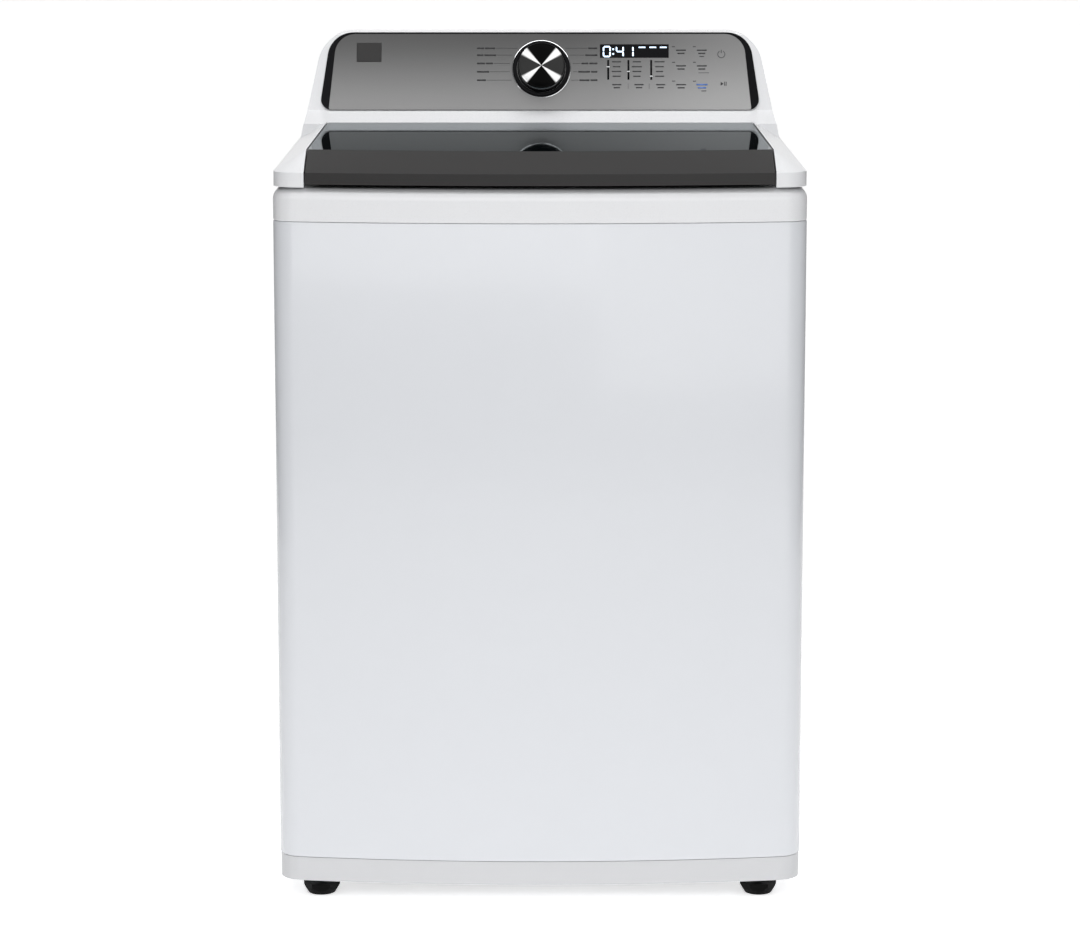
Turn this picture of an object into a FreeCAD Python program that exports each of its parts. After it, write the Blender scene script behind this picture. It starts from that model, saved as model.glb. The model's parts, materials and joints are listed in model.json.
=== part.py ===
"""Top load washing machine: cabinet, lid, console, suspended tub, basket, drive, pump and feet.

Millimetres. +Z is up, the front faces -Y, and the origin is under the middle of the machine at
floor level. Every size comes from the sheet, in formulas that use the names of its cells.
"""
import FreeCAD, Part
import math
import os
import re
import Sketcher
from FreeCAD import Placement, Rotation, Vector

SIZES = {
    # Cabinet
    "width": 690, "depth": 735, "height": 1120, "front_bow": 2237, "corner": 32, "seam": 0.3,
    "base_low": 31, "base_high": 63, "cabinet_high": 907, "cover_high": 950, "back": 352,
    "steel": 1.2, "wall": 3, "flange": 22,
    # Levelling feet
    "foot_x": 292, "foot_front": -292, "foot_back": 300, "foot_flat": 21, "foot_thick": 15,
    "stud": 5, "stud_high": 76, "fit": 0.05, "nut_flat": 9, "nut_thick": 6,
    # Upper mouldings and lid
    "deck_low": 951, "crease": 970, "lid_top": 995, "lid_half": 301, "bay_half": 303,
    "bay_back": 137, "lid_back": 133, "upper_front": -318, "upper_bow": 1632, "upper_corner": 8,
    "trim_low": 955, "glass": 4, "frame_low": 976, "rim_low": 961, "pivot_y": 106,
    "pivot_z": 981, "pin": 3.5, "cover_round": 16, "opening": 236, "opening_y": -10,
    "opening_back": 105, "collar_low": 897,
    # Console, whose face leans back
    "recline": 17, "face_y": 170, "face_z": 1010, "face_high": 111, "face_low_half": 302,
    "face_top_half": 291, "face_round": 30, "bezel_low_half": 315, "bezel_top_half": 299,
    "console_low_half": 343, "console_top_half": 309, "console_round": 50,
    "knob_x": 2, "knob_up": 59.5, "knob": 34.5, "surround": 40.5, "knob_out": 26,
    "window_left": 86, "window_right": 184, "window_low": 76, "window_high": 95.6,
    # Tub and basket
    "tub": 284, "tub_low": 250, "tub_high": 890, "ring_high": 905, "ring_hole": 250,
    "basket": 262, "basket_low": 290, "basket_high": 850, "balance_low": 832,
    "balance_high": 878, "balance_hole": 226, "rod_x": 288, "rod_y": 296, "rod": 5,
    "rod_low": 224, "rod_high": 868, "seat_z": 240, "cup_low": 330, "ear_z": 352,
    # Drive and pump
    "spin_tube": 15, "drive_shaft": 9.95, "bearing": 31, "bearing_high": 16, "housing": 38,
    "housing_low": 152, "flange_plate": 6, "pulley": 122, "groove": 116.7, "motor_pulley": 29,
    "motor_groove": 23.7, "pulley_low": 112, "pulley_high": 22, "motor_y": 205, "motor": 62,
    "motor_low": 146, "pump_x": -150, "pump_y": -150, "pump": 36, "pump_low": 150,
    "pump_high": 40, "pump_motor": 26, "hose": 14, "hose_wall": 2.5, "impeller": 205,
    "impeller_low": 302, "washer_gap": 0.3,
    # Water feed
    "drawer_left": -165, "drawer_right": 5, "drawer_front": 108, "drawer_back": 300,
    "drawer_low": 922, "drawer_high": 948, "valve_x": -235, "valve_z": 1012, "thread": 13.2,
    "drain_x": 225, "drain_z": 720, "cord_x": 230, "cord_z": 860,
    "badge_left": -262, "badge_wide": 35, "badge_low": 70, "badge_high": 28,
    "strike_x": 275, "strike_y": -250, "strike_low": 922,
}

doc = FreeCAD.newDocument("Washer")
sheet = doc.addObject("Spreadsheet::Sheet", "Sizes")
for row, (alias, value) in enumerate(SIZES.items(), start=1):
    sheet.set("A%d" % row, alias)
    sheet.set("B%d" % row, str(value))
    sheet.setAlias("B%d" % row, alias)
doc.recompute()

NODES = []


# ---------------------------------------------------------------- formulas and placing
def formula(text):
    """The formula in full: each word that is a cell of the sheet gets the sheet's name."""
    def full(match):
        word = match.group()
        return "Sizes." + word if word in SIZES else word
    return re.sub(r"[a-z_]+", full, str(text))


def value(text):
    """The number that a formula gives now."""
    return float(sheet.evalExpression(formula(text)))


def bind(thing, **formulas):
    """Binds properties of a document object to formulas."""
    for name, text in formulas.items():
        thing.setExpression(name, formula(text))
    return thing


def place(thing, x=0, y=0, z=0, turn=Rotation()):
    """Places an object at formulas for x, y and z."""
    thing.Placement = Placement(Vector(), turn)
    for axis, text in zip("xyz", (x, y, z)):
        thing.setExpression("Placement.Base." + axis, formula(text))
    return thing


def node(thing, label):
    """Makes an object a sub-part, written to a file of its own."""
    thing.Label = label
    NODES.append(thing)
    return thing


ALONG = {"x": Rotation(Vector(0, 1, 0), 90), "y": Rotation(Vector(1, 0, 0), -90), "z": Rotation()}


def box(x, y, z, across, along, up):
    """A box from its lowest corner."""
    solid = bind(doc.addObject("Part::Box", "Block"), Length=across, Width=along, Height=up)
    return place(solid, x, y, z)


def rod(radius, length, x=0, y=0, z=0, axis="z"):
    """A round bar that starts at x, y, z and runs along + axis."""
    solid = bind(doc.addObject("Part::Cylinder", "Bar"), Radius=radius, Height=length)
    return place(solid, x, y, z, ALONG[axis])


def hexagon(flat, length, x, y, z):
    """A six-sided bar; flat is half its width across the flats."""
    solid = doc.addObject("Part::Prism", "Hex")
    solid.Polygon = 6
    bind(solid, Circumradius="(%s) / cos(30)" % flat, Height=length)
    return place(solid, x, y, z)


def fuse(*solids):
    joined = doc.addObject("Part::MultiFuse", "Join")
    joined.Shapes = list(solids)
    return joined


def cut(base, *tools):
    left = doc.addObject("Part::Cut", "Left")
    left.Base = base
    left.Tool = tools[0] if len(tools) == 1 else fuse(*tools)
    return left


def common(*solids):
    shared = doc.addObject("Part::MultiCommon", "Shared")
    shared.Shapes = list(solids)
    return shared


def group(solids):
    """Loose solids of one kind, kept as one sub-part."""
    compound = doc.addObject("Part::Compound", "Group")
    compound.Links = list(solids)
    return compound


def tube(outer, inner, length, x=0, y=0, z=0, axis="z"):
    return cut(rod(outer, length, x, y, z, axis), rod(inner, length, x, y, z, axis))


# ---------------------------------------------------------------- sketches
def fix(sketch, index, point, x, y):
    """Dimensions one point of a sketch from its origin."""
    for kind, text in (("DistanceX", x), ("DistanceY", y)):
        number = sketch.addConstraint(Sketcher.Constraint(kind, -1, 1, index, point, value(text)))
        sketch.setExpression("Constraints[%d]" % number, formula(text))


def fix_radius(sketch, index, text):
    number = sketch.addConstraint(Sketcher.Constraint("Radius", index, value(text)))
    sketch.setExpression("Constraints[%d]" % number, formula(text))


def circle(sketch, x, y, radius):
    shape = Part.Circle(Vector(value(x), value(y), 0), Vector(0, 0, 1), value(radius))
    index = sketch.addGeometry(shape, False)
    fix(sketch, index, 3, x, y)
    fix_radius(sketch, index, radius)


def polygon(sketch, corners):
    """A closed outline of straight sides; a corner with a third formula is rounded by it."""
    points = [Vector(value(c[0]), value(c[1]), 0) for c in corners]
    rounds = [value(c[2]) if len(c) > 2 else 0 for c in corners]
    count = len(corners)
    before, after, centres = [], [], []
    for i in range(count):
        back = (points[i - 1] - points[i]).normalize()
        ahead = (points[(i + 1) % count] - points[i]).normalize()
        half = back.getAngle(ahead) / 2
        reach = rounds[i] / math.tan(half)
        before.append(points[i] + back * reach)
        after.append(points[i] + ahead * reach)
        centres.append(points[i] + (back + ahead).normalize() * (rounds[i] / math.sin(half)))
    sides = []
    for i in range(count):
        side = Part.LineSegment(after[i], before[(i + 1) % count])
        sides.append(sketch.addGeometry(side, False))
    for i in range(count):
        if not rounds[i]:
            sketch.addConstraint(Sketcher.Constraint("Coincident", sides[i - 1], 2, sides[i], 1))
            fix(sketch, sides[i], 1, corners[i][0], corners[i][1])
            continue
        start = before[i] - centres[i]
        end = after[i] - centres[i]
        first, last = (start, end) if start.cross(end).z > 0 else (end, start)
        shape = Part.Circle(centres[i], Vector(0, 0, 1), rounds[i])
        angles = [math.atan2(v.y, v.x) for v in (first, last)]
        arc = sketch.addGeometry(Part.ArcOfCircle(shape, *angles), False)
        ends = (1, 2) if start.cross(end).z > 0 else (2, 1)
        sketch.addConstraint(Sketcher.Constraint("Tangent", sides[i - 1], 2, arc, ends[0]))
        sketch.addConstraint(Sketcher.Constraint("Tangent", arc, ends[1], sides[i], 1))
        fix_radius(sketch, arc, corners[i][2])
        vertex = sketch.addGeometry(Part.Point(points[i]), True)
        fix(sketch, vertex, 1, corners[i][0], corners[i][1])
        for side in (sides[i - 1], sides[i]):
            sketch.addConstraint(Sketcher.Constraint("PointOnObject", vertex, 1, side))


def bowed(sketch, half, front, bow, corner, back):
    """The plan of the machine: a bowed front, rounded front corners and a straight back."""
    centre = Vector(0, value(front) + value(bow), 0)
    turn = value(half) - value(corner)
    drop = math.sqrt((value(bow) - value(corner)) ** 2 - turn ** 2)
    shoulder = Vector(turn, centre.y - drop, 0)
    swing = math.atan2(turn, drop)
    down = -math.pi / 2
    big = Part.Circle(centre, Vector(0, 0, 1), value(bow))
    right = Part.Circle(shoulder, Vector(0, 0, 1), value(corner))
    left = Part.Circle(Vector(-turn, shoulder.y, 0), Vector(0, 0, 1), value(corner))
    corners = [Vector(value(half), shoulder.y, 0), Vector(value(half), value(back), 0),
               Vector(-value(half), value(back), 0), Vector(-value(half), shoulder.y, 0)]
    g = [sketch.addGeometry(part, False) for part in (
        Part.ArcOfCircle(big, down - swing, down + swing), Part.ArcOfCircle(right, down + swing, 0),
        Part.LineSegment(corners[0], corners[1]), Part.LineSegment(corners[1], corners[2]),
        Part.LineSegment(corners[2], corners[3]),
        Part.ArcOfCircle(left, math.pi, 2 * math.pi + down - swing))]
    for a, b in ((0, 1), (1, 2), (4, 5), (5, 0)):
        sketch.addConstraint(Sketcher.Constraint("Tangent", g[a], 2, g[b], 1))
    for a, b in ((2, 3), (3, 4)):
        sketch.addConstraint(Sketcher.Constraint("Coincident", g[a], 2, g[b], 1))
    sketch.addConstraint(Sketcher.Constraint("Equal", g[1], g[5]))
    sketch.addConstraint(Sketcher.Constraint("Vertical", g[2]))
    sketch.addConstraint(Sketcher.Constraint("Vertical", g[4]))
    fix_radius(sketch, g[0], bow)
    fix_radius(sketch, g[1], corner)
    fix(sketch, g[0], 3, 0, "%s + %s" % (front, bow))
    fix(sketch, g[3], 1, half, back)
    fix(sketch, g[3], 2, "-(%s)" % half, back)


def cabinet_plan(sketch, inset):
    """The plan of the cabinet, drawn inset from its skin."""
    bowed(sketch, "width / 2 - (%s)" % inset, "%s - depth / 2" % inset,
          "front_bow - (%s)" % inset, "corner - (%s)" % inset, "back - (%s)" % inset)


PLANES = {"XY": ("XY_Plane", 1), "XZ": ("XZ_Plane", -1), "YZ": ("YZ_Plane", 1)}


def body(label):
    made = doc.addObject("PartDesign::Body", "Body")
    return node(made, label) if label else made


def sketch_on(owner, plane, offset=0):
    """A sketch parallel to one of the body's planes, offset along the world's axis."""
    role, sign = PLANES[plane]
    sketch = owner.newObject("Sketcher::SketchObject", "Sketch")
    support = [o for o in owner.Origin.OriginFeatures if o.Role == role][0]
    sketch.AttachmentSupport = [(support, "")]
    sketch.MapMode = "FlatFace"
    sketch.setExpression("AttachmentOffset.Base.z", formula("%d * (%s)" % (sign, offset)))
    return sketch


def draw(sketch, loops):
    """Draws each loop: three formulas for a circle, a call, or a list of corners."""
    for loop in loops:
        if callable(loop):
            loop(sketch)
        elif isinstance(loop, tuple):
            circle(sketch, *loop)
        else:
            polygon(sketch, loop)


def pad(owner, plane, offset, length, *loops):
    """Adds material from offset to offset + length along the plane's world axis."""
    sketch = sketch_on(owner, plane, offset)
    draw(sketch, loops)
    feature = owner.newObject("PartDesign::Pad", "Pad")
    feature.Profile = sketch
    feature.Reversed = plane == "XZ"
    return bind(feature, Length=length)


def pocket(owner, plane, offset, length, *loops):
    """Removes material from offset to offset + length along the plane's world axis."""
    sketch = sketch_on(owner, plane, offset)
    draw(sketch, loops)
    doc.recompute()
    before = owner.Shape.Volume
    feature = owner.newObject("PartDesign::Pocket", "Pocket")
    feature.Profile = sketch
    feature.Reversed = plane != "XZ"
    bind(feature, Length=length)
    doc.recompute()
    if not owner.Shape.Volume < before - 1e-6:
        raise ValueError("a pocket of %s removes nothing" % owner.Label)
    return feature


def spin(owner, *loops):
    """Revolves a profile, drawn as radius and height, about the upright axis."""
    sketch = sketch_on(owner, "XZ")
    draw(sketch, loops)
    feature = owner.newObject("PartDesign::Revolution", "Turned")
    feature.Profile = sketch
    axis = [o for o in owner.Origin.OriginFeatures if o.Role == "Z_Axis"][0]
    feature.ReferenceAxis = (axis, [""])
    return feature


def around(owner, feature, count):
    """Repeats a feature evenly about the upright axis."""
    pattern = owner.newObject("PartDesign::PolarPattern", "Pattern")
    pattern.Originals = [feature]
    pattern.Axis = ([o for o in owner.Origin.OriginFeatures if o.Role == "Z_Axis"][0], [""])
    pattern.Occurrences = count
    owner.Tip = pattern
    return pattern


def rectangle(x, y, across, up):
    """The corners of a rectangle from its lowest one."""
    right, top = "%s + %s" % (x, across), "%s + %s" % (y, up)
    return [(x, y), (right, y), (right, top), (x, top)]


def mirrored(half, *rows):
    """Corners of an outline that is the same on both sides, from its right half, bottom up."""
    left = [("-(%s)" % row[0],) + tuple(row[1:]) for row in rows]
    return list(rows) + left[::-1]


# ---------------------------------------------------------------- code-made shapes
def feature(label, shape):
    """A sub-part whose shape is worked out in code."""
    made = doc.addObject("Part::Feature", "Shape")
    made.Shape = shape
    made.Placement = Placement()
    return node(made, label)


def routed(points, radius):
    """A path of straight runs joined by tangent arcs of one radius."""
    edges = []
    here = points[0]
    for i in range(1, len(points) - 1):
        back = (points[i - 1] - points[i]).normalize()
        ahead = (points[i + 1] - points[i]).normalize()
        half = back.getAngle(ahead) / 2
        start = points[i] + back * (radius / math.tan(half))
        end = points[i] + ahead * (radius / math.tan(half))
        centre = points[i] + (back + ahead).normalize() * (radius / math.sin(half))
        middle = centre + (points[i] - centre).normalize() * radius
        edges += [Part.LineSegment(here, start).toShape(), Part.Arc(start, middle, end).toShape()]
        here = end
    edges.append(Part.LineSegment(here, points[-1]).toShape())
    return Part.Wire(edges)


def swept(path, radius):
    """A round bar along a path."""
    first = path.Edges[0]
    profile = Part.Wire(Part.makeCircle(radius, first.valueAt(first.FirstParameter),
                                        first.tangentAt(first.FirstParameter)))
    return path.makePipeShell([profile], True, False)


def hose(path, outer, inner):
    return swept(path, outer).cut(swept(path, inner))


# ---------------------------------------------------------------- feet and base
CORNERS = [("fl", "-foot_x", "foot_front"), ("fr", "foot_x", "foot_front"),
           ("bl", "-foot_x", "foot_back"), ("br", "foot_x", "foot_back")]


def levelling_feet():
    """A hexagonal pad with a threaded stud at each corner, and the lock nut on the stud."""
    nuts = []
    for name, x, y in CORNERS:
        chamfer = doc.addObject("Part::Cone", "Taper")
        bind(chamfer, Radius1="foot_flat - 3", Radius2="foot_flat + 6", Height="foot_thick")
        pad_part = common(hexagon("foot_flat", "foot_thick", x, y, 0), place(chamfer, x, y, 0))
        stud = rod("stud", "stud_high - foot_thick", x, y, "foot_thick")
        node(fuse(pad_part, stud), "levelling_foot_" + name)
        low = "base_low - nut_thick"
        nut = cut(hexagon("nut_flat", "nut_thick", x, y, low), rod("stud + fit", "nut_thick", x, y, low))
        nuts.append(nut)
    node(group(nuts), "foot_lock_nuts")


def base_frame():
    """The plinth: a tray with an open middle and a boss over each foot."""
    part = body("base_frame")
    high = "base_high - seam - base_low"
    pad(part, "XY", "base_low", high, lambda s: cabinet_plan(s, "1"))
    pocket(part, "XY", "base_low + 4", high, lambda s: cabinet_plan(s, "5"))
    middle = mirrored(0, ("width / 2 - 60", "60 - depth / 2", 20), ("width / 2 - 60", "back - 50", 20))
    pocket(part, "XY", "base_low - 1", 6, middle)
    bosses = [(x, y, "foot_flat - 5") for name, x, y in CORNERS]
    pad(part, "XY", "base_low + 3", 22, *bosses)
    pocket(part, "XY", "base_low - 1", 40, *[(x, y, "stud + fit") for name, x, y in CORNERS])


# ---------------------------------------------------------------- cabinet
def cabinet_wrap():
    """One sheet bent round the front and both sides, with a return flange at the back."""
    part = body("cabinet_wrap")
    pad(part, "XY", "base_high", "cabinet_high - seam - base_high",
        lambda s: cabinet_plan(s, "0"), lambda s: cabinet_plan(s, "steel"))
    gap = rectangle("flange - width / 2", "base_high - 1", "width - 2 * flange", "cabinet_high")
    pocket(part, "XZ", "back - 2 * steel", "3 * steel", gap)


def rear_panel():
    """The back sheet, with a row of pressed-out louvres as slots and the two outlets' holes."""
    part = body("rear_panel")
    sheet_outline = rectangle("12 - width / 2", "base_high + 2", "width - 24",
                              "cabinet_high - base_high - 12")
    pad(part, "XZ", "back - 2 * steel - seam", "steel", sheet_outline)
    slots = []
    for i in range(6):
        slots.append(rectangle("-60", "150 + 22 * %d" % i, 120, 6))
    pocket(part, "XZ", "back - 4 * steel", "6 * steel", *slots)
    holes = [("-drain_x", "drain_z", "hose + 3"), ("cord_x", "cord_z", 9)]
    pocket(part, "XZ", "back - 4 * steel", "6 * steel", *holes)


def cabinet_screws():
    """Hex-head screws along both edges of the rear panel."""
    screws = []
    for side in ("12 + 6 - width / 2", "width / 2 - 18"):
        for i in range(5):
            up = "base_high + 25 + 195 * %d" % i
            head = rod(4.5, 3, side, "back", up, "y")
            shank = rod(1.6, 8, side, "back - 8", up, "y")
            screws.append(fuse(head, shank))
    node(group(screws), "cabinet_screws")


# ---------------------------------------------------------------- upper mouldings
def top_cover():
    """The lower moulding: a bowed skirt, a plate with the laundry opening and a splash collar."""
    part = body("top_cover")
    pad(part, "XY", "cabinet_high", "cover_high - cabinet_high", lambda s: cabinet_plan(s, "0"))
    doc.recompute()
    edges = []
    for i, edge in enumerate(part.Shape.Edges, start=1):
        box_of = edge.BoundBox
        if box_of.ZMin > value("cover_high") - 0.01 and box_of.YMin < value("back") - 1:
            edges.append("Edge%d" % i)
    block = part.Tip
    rounded = part.newObject("PartDesign::Fillet", "RoundedEdge")
    rounded.Base = (block, edges)
    bind(rounded, Radius="cover_round")
    doc.recompute()
    pocket(part, "XY", "cabinet_high - 1", "cover_high - cabinet_high - wall - 14",
           lambda s: cabinet_plan(s, "wall"))
    pocket(part, "XY", "cover_high - wall - 16", 16, lambda s: cabinet_plan(s, "cover_round + wall"))
    pad(part, "XY", "collar_low", "cover_high - wall - collar_low", lambda s: opening(s, "0"))
    pocket(part, "XY", "collar_low - 1", "height", lambda s: opening(s, "wall"))
    notch = rectangle("drawer_left - 3", "drawer_front - 8", "drawer_right - drawer_left + 6",
                      "drawer_back - drawer_front + 19")
    pocket(part, "XY", "collar_low + 24", "height", notch)
    pocket(part, "XY", "cover_high - 5", 10, rectangle("strike_x - 7", "strike_y - 16", 14, 32))


def opening(sketch, inset):
    """The D-shaped laundry opening: a circle cut off straight at the back."""
    radius = "(opening - %s)" % inset
    back = "(opening_back - %s)" % inset
    drop = "(%s - opening_y)" % back
    middle = Vector(0, value("opening_y"), 0)
    rise = math.asin(value(drop) / value(radius))
    shape = Part.Circle(middle, Vector(0, 0, 1), value(radius))
    arc = sketch.addGeometry(Part.ArcOfCircle(shape, math.pi - rise, 2 * math.pi + rise), False)
    across = value(radius) * math.cos(rise)
    chord = Part.LineSegment(Vector(across, value(back), 0), Vector(-across, value(back), 0))
    side = sketch.addGeometry(chord, False)
    sketch.addConstraint(Sketcher.Constraint("Coincident", arc, 2, side, 1))
    sketch.addConstraint(Sketcher.Constraint("Coincident", side, 2, arc, 1))
    sketch.addConstraint(Sketcher.Constraint("Horizontal", side))
    fix(sketch, arc, 3, 0, "opening_y")
    fix_radius(sketch, arc, radius)
    number = sketch.addConstraint(Sketcher.Constraint("DistanceY", -1, 1, side, 1, value(back)))
    sketch.setExpression("Constraints[%d]" % number, formula(back))


def brow(inset, drop):
    """The form of the upper front: an upright band, then a slope up to the lid's level."""
    part = body(None)
    low = "deck_low" if inset == "0" else "deck_low - 1"
    pad(part, "XY", low, "crease - %s - (%s)" % (drop, low), lambda s: cabinet_plan(s, "1 + " + inset))
    lower = sketch_on(part, "XY", "crease - " + drop)
    cabinet_plan(lower, "1 + " + inset)
    upper = sketch_on(part, "XY", "lid_top - " + drop)
    bowed(upper, "bay_half + 1 - %s" % inset, "upper_front + " + inset, "upper_bow",
          "upper_corner", "back - 1 - " + inset)
    slope = part.newObject("PartDesign::AdditiveLoft", "Slope")
    slope.Profile = lower
    slope.Sections = [upper]
    slope.Ruled = True
    return part


def console_block(inset):
    """The console from the front and from the side, the two outlines crossed."""
    front = body(None)
    outline = mirrored(0, ("console_low_half - 0.5 - %s" % inset, "crease - 8"),
                       ("console_top_half - %s" % inset, "height - %s" % inset,
                        "console_round - %s" % inset))
    pad(front, "XZ", "bay_back + " + inset, "back - bay_back - " + inset, outline)
    side = body(None)
    lean = "(height - face_z) * tan(recline)"
    profile = [("bay_back + %s" % inset, "crease - 8"), ("bay_back + %s" % inset, "lid_top - 2 - " + inset),
               ("face_y + 1 + %s" % inset, "face_z - " + inset),
               ("face_y + 1 + %s + %s" % (inset, lean), "height - " + inset, 8),
               ("face_y + 95 - %s" % inset, "height - " + inset, 30),
               ("back - %s" % inset, "height - 85", 20), ("back - %s" % inset, "crease - 8")]
    pad(side, "YZ", "-width / 2", "width", profile)
    return common(front, side)


def console_deck():
    """The upper moulding: side rails beside the lid and the console housing behind it."""
    outer = fuse(cut(brow("0", "0"), box("-bay_half", "-depth", "deck_low - 1", "2 * bay_half",
                                         "depth + bay_back", 80)), console_block("0"))
    bay = box("-bay_half - wall", "-depth", "deck_low - 2", "2 * (bay_half + wall)",
              "depth + bay_back + wall", 80)
    hollow = fuse(cut(brow("wall", "wall"), bay), console_block("wall"),
                  box("wall + 1 - width / 2", "bay_back + wall", "deck_low - 1",
                      "width - 2 * (wall + 1)", "back - bay_back - 2 * wall", "crease - deck_low"))
    face = on_face(box(0, 0, 0, 560, 12, 92), -280, -4, 12)
    rear = box("20 - width / 2", "back - 8", "deck_low - 1", "width - 40", 20, 82)
    pins = [rod("pin + 0.5", 14, "%s * (bay_half + 3) - 7" % sign, "pivot_y", "pivot_z", "x")
            for sign in (-1, 1)]
    node(cut(outer, hollow, face, rear, *pins), "console_deck")


def on_face(thing, x=0, y=0, z=0, turn=Rotation()):
    """Places an object on the leaning console face: x across, y inwards, z up the face."""
    lean = Rotation(Vector(-1, 0, 0), value("recline"))
    thing.Placement = Placement(Vector(), lean.multiply(turn))
    thing.setExpression("Placement.Base.x", formula(x))
    thing.setExpression("Placement.Base.y", formula(
        "face_y + (%s) * cos(recline) + (%s) * sin(recline)" % (y, z)))
    thing.setExpression("Placement.Base.z", formula(
        "face_z - (%s) * sin(recline) + (%s) * cos(recline)" % (y, z)))
    return thing


def face_body(label):
    """A sub-part modelled flat and then leant back on to the console face."""
    return on_face(body(label))


# ---------------------------------------------------------------- console
def console_front():
    """The black bezel, the faceplate in it, the display window and a plain badge."""
    plate_outline = mirrored(0, ("face_low_half", 0, 3), ("face_top_half", "face_high", "face_round"))
    bezel = face_body("console_bezel")
    rim = mirrored(0, ("bezel_low_half", 0.4, 15), ("bezel_top_half", "face_high + 2.5", "face_round + 7"))
    pad(bezel, "XZ", "-1.5", 2.4, rim)
    inner = mirrored(0, ("face_low_half - 8", 8, 3), ("face_top_half - 8", "face_high - 8", "face_round - 8"))
    pocket(bezel, "XZ", -2, 6, inner)
    pocket(bezel, "XZ", "-2", 2, plate_outline)
    plate = face_body("console_faceplate")
    pad(plate, "XZ", -1.8, 1.8, plate_outline)
    window = rectangle("window_left", "window_low", "window_right - window_left",
                       "window_high - window_low")
    pocket(plate, "XZ", -3, 6, window)
    pocket(plate, "XZ", -3, 6, ("knob_x", "knob_up", 6))
    badge_place = rectangle("badge_left", "badge_low", "badge_wide", "badge_high")
    pocket(plate, "XZ", -1.8, 0.6, badge_place)
    glass = face_body("display_window")
    pad(glass, "XZ", "-2", 3, window)
    badge = face_body("badge")
    pad(badge, "XZ", "-2.2", 1, badge_place)


def console_electrics():
    """The display board with its digit block and the encoder, and the power board."""
    board = face_body("display_board")
    pad(board, "XZ", 14, 1.6, rectangle("-60", 20, 300, 80))
    digits = rectangle("window_left + 2", "window_low + 2", "window_right - window_left - 4",
                       "window_high - window_low - 4")
    pad(board, "XZ", 3, 11, digits)
    pad(board, "XZ", 5, 14, ("knob_x", "knob_up", 8))
    pad(board, "XZ", -3, 8, ("knob_x", "knob_up", 5.5))
    pocket(board, "XZ", -4, 24, ("knob_x", "knob_up", "3 + fit"))
    case = box(90, 220, 960, 150, 90, 40)
    fins = [box("100 + 14 * %d" % i, 225, 999, 3, 80, 14) for i in range(6)]
    node(fuse(case, *fins), "control_board")


def selector():
    """The fixed surround, the metal skirt with its shaft and the spun cap."""
    surround = face_body("selector_surround")
    pad(surround, "XZ", "-7", 5.2, ("knob_x", "knob_up", "surround"),
        ("knob_x", "knob_up", "knob + 0.8"))
    skirt = face_body("selector_skirt")
    pad(skirt, "XZ", "-knob_out + 3", "knob_out - 6", ("knob_x", "knob_up", "knob"))
    pocket(skirt, "XZ", "-knob_out + 6", "knob_out", ("knob_x", "knob_up", "knob - 2.5"))
    pad(skirt, "XZ", "-knob_out + 5", "knob_out - 9", ("knob_x", "knob_up", 7))
    pad(skirt, "XZ", "-knob_out + 5", "knob_out + 11", ("knob_x", "knob_up", 3))
    cap = face_body("selector_cap")
    pad(cap, "XZ", "-knob_out", 3, ("knob_x", "knob_up", "knob - 1.5"))


def console_rear_cover():
    """The steel plate that closes the console's back, with holes for the inlets."""
    part = body("console_rear_cover")
    pad(part, "XZ", "back - steel", "steel", rectangle("21 - width / 2", "deck_low + 1", "width - 42", 78))
    holes = [("valve_x + %d" % step, "valve_z - 12", "thread + 1") for step in (-30, 30)]
    pocket(part, "XZ", "back - 4", 8, *holes)


# ---------------------------------------------------------------- lid
def lid():
    """The front trim, the frame with its hanging rims, the glass and the strike."""
    shell = cut(brow("0", "0"), brow("2.5", "2.5"))
    window = box("-lid_half", "-depth", "trim_low", "2 * lid_half", "depth + upper_front + 34", 90)
    lip = body(None)
    pad(lip, "XY", "trim_low", 2.5, lambda s: cabinet_plan(s, "1"))
    lip_part = common(lip, box("-lid_half", "-depth", "trim_low - 1", "2 * lid_half",
                               "depth / 2 + 30", 20))
    trim = common(shell, window)
    behind = body(None)
    pad(behind, "XY", "trim_low - 1", 80, lambda s: lid_plan(s, "0"))
    node(cut(fuse(trim, lip_part), behind), "lid_trim")
    glass = body("lid_glass")
    pad(glass, "XY", "lid_top - glass", "glass", lambda s: lid_plan(s, "seam"))
    frame = body("lid_frame")
    pad(frame, "XY", "frame_low", "lid_top - glass - frame_low", lambda s: lid_plan(s, "seam"))
    pocket(frame, "XY", "frame_low - 1", 40, mirrored(0, ("lid_half - 46", "upper_front + 78", 30),
                                                      ("lid_half - 46", "lid_back - 55", 30)))
    pocket(frame, "XY", "frame_low - 1", "lid_top - glass - frame_low - 2",
           mirrored(0, ("lid_half - 4", "upper_front + 48", 10), ("lid_half - 4", "lid_back - 6", 10)))
    ring = mirrored(0, ("lid_half - 43", "upper_front + 75", 33), ("lid_half - 43", "lid_back - 52", 33))
    hole = mirrored(0, ("lid_half - 46", "upper_front + 78", 30), ("lid_half - 46", "lid_back - 55", 30))
    pad(frame, "XY", "frame_low", "lid_top - glass - frame_low", ring, hole)
    for left in ("-lid_half", "lid_half - 4"):
        pad(frame, "XY", "rim_low", "frame_low - rim_low + 2", rectangle(left, "upper_front + 48", 4,
                                                                       "lid_back - 85 - upper_front"))
    for left in ("-lid_half", "lid_half - 14"):
        boss = rectangle("pivot_y - 9", "pivot_z - 8", 18, "lid_top - glass - pivot_z + 8")
        pad(frame, "YZ", left, 14, boss)
        pocket(frame, "YZ", left + " - 1", 16, ("pivot_y", "pivot_z", "pin + fit"))
    strike = body("lid_strike")
    pad(strike, "YZ", "strike_x - 3", 6, rectangle("strike_y - 8", "strike_low", 16,
                                                   "frame_low - strike_low"))
    pad(strike, "XY", "frame_low", 12, rectangle("strike_x - 11", "strike_y - 12", 22, 24))
    pocket(strike, "YZ", "strike_x - 9", 18, ("strike_y", "strike_low + 9", 4.2))


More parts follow.
